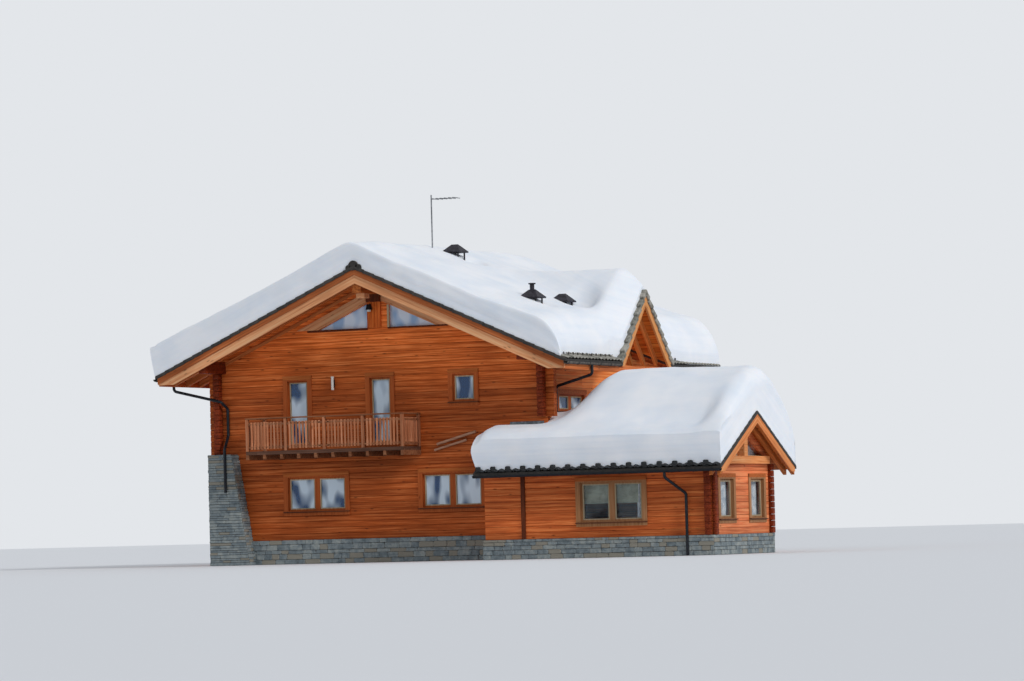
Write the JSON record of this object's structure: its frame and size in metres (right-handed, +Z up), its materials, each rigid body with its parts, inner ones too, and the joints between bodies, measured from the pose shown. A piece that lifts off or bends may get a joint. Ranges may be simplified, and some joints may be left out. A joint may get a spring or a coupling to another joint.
{
  "type": "alpine log chalet with roof snow",
  "caption": "Two-storey gabled log chalet with balcony, cross gable, low annex wing, stone base, chimneys and deep snow on its roofs.",
  "frame": {"origin": "On the ground, under the middle of the main gable wall's outer face, at the point of the flat rest face ground_face.", "axes": "X to the right along the main gable, Y back along the main ridge, Z up."},
  "size_m": [19.92, 12.72, 11.6],
  "materials": {
    "stone_masonry": "rough split stone in mortar",
    "floor_slab": "plain concrete",
    "floor_timber": "planed boards",
    "log_timber": "stained planed logs",
    "beam_timber": "stained planed beams",
    "roof_boards": "planed boards",
    "light_barge_timber": "stained planed boards",
    "dark_barge_timber": "dark stained boards",
    "roof_tile": "dark grey tiles",
    "balcony_timber": "stained planed timber",
    "window_timber": "stained planed timber",
    "window_glass": "clear double glazing",
    "gutter_metal": "dark coated sheet",
    "chimney_render": "rough render",
    "chimney_metal": "dark sheet metal",
    "antenna_metal": "dull weathered tube",
    "snow": "deep settled snow"
  },
  "bodies": {
    "root": {"main_plinth": "stone_masonry", "corner_buttress": "stone_masonry", "annex_base": "stone_masonry", "ground_floor": "floor_slab", "annex_floor": "floor_slab", "upper_floor": "floor_timber", "front_wall_ground": "log_timber", "front_wall_upper": "log_timber", "back_wall_ground": "log_timber", "back_wall_upper": "log_timber", "left_wall": "log_timber", "right_wall": "log_timber", "corner_log_ends": "log_timber", "cross_gable_wall": "log_timber", "annex_front_wall": "log_timber", "annex_back_wall": "log_timber", "annex_left_wall": "log_timber", "annex_gable_wall": "log_timber", "gable_king_post": "beam_timber", "annex_gable_truss": "beam_timber", "ridge_purlin": "beam_timber", "eave_plates": "beam_timber", "rafters": "beam_timber", "cross_gable_rafters": "beam_timber", "annex_rafters": "beam_timber", "balcony_joists": "beam_timber", "roof_deck": "roof_boards", "cross_gable_deck": "roof_boards", "annex_roof_deck": "roof_boards", "lower_barge_boards": "light_barge_timber", "upper_barge_boards": "dark_barge_timber", "cross_gable_barge": "light_barge_timber", "annex_barge_boards": "light_barge_timber", "roof_tiles_left": "roof_tile", "roof_tiles_right": "roof_tile", "cross_gable_tiles": "roof_tile", "annex_roof_tiles": "roof_tile", "ridge_cap": "roof_tile", "balcony_deck": "balcony_timber", "balcony_railing": "balcony_timber", "balcony_railing_ends": "balcony_timber", "front_window_frames": "window_timber", "side_and_back_window_frames": "window_timber", "annex_window_frames": "window_timber", "front_window_glass": "window_glass", "gable_glass": "window_glass", "side_and_back_window_glass": "window_glass", "annex_window_glass": "window_glass", "main_gutters": "gutter_metal", "annex_gutter": "gutter_metal", "left_downpipe": "gutter_metal", "right_downpipe": "gutter_metal", "annex_downpipe": "gutter_metal", "chimney_shafts": "chimney_render", "chimney_caps": "chimney_metal", "antenna": "antenna_metal", "main_roof_snow": "snow", "cross_gable_snow": "snow", "annex_roof_snow": "snow"}
  },
  "joints": []
}
